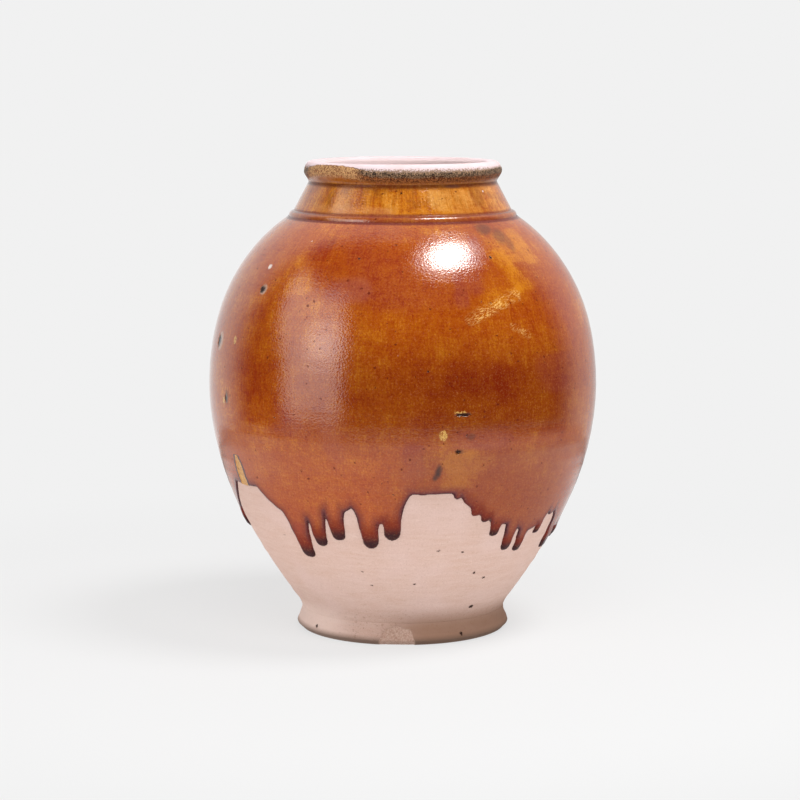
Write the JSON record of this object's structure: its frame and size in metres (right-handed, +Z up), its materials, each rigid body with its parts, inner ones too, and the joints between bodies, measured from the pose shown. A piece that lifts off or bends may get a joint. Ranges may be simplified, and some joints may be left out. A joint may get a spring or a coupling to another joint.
{
  "type": "glazed storage jar",
  "caption": "Thrown stoneware storage jar with a round belly, short sloping neck, rolled lip, flared foot and an amber glaze that runs down over bare clay.",
  "frame": {"origin": "centre of the standing ring's underside, on the surface that the jar stands on", "axes": "+Z up along the jar's axis, -Y towards the front that the picture shows, +X to the right of that view"},
  "size_m": [0.2524, 0.2524, 0.305],
  "materials": {
    "bare_clay": "matt bare stoneware, pinkish buff, faint throwing rings and pits",
    "lip_clay": "matt bare stoneware, pale pink, wiped clean of glaze",
    "amber_glaze": "glossy amber lead-type glaze, red-brown where thick, dark at its edges"
  },
  "bodies": {
    "root": {"foot_ring": "bare_clay", "floor_disc": "bare_clay", "lower_wall": "bare_clay", "upper_wall": "bare_clay", "neck_bead": "bare_clay", "neck_collar": "bare_clay", "lip_roll": "lip_clay", "glaze_coat": "amber_glaze"}
  },
  "joints": []
}
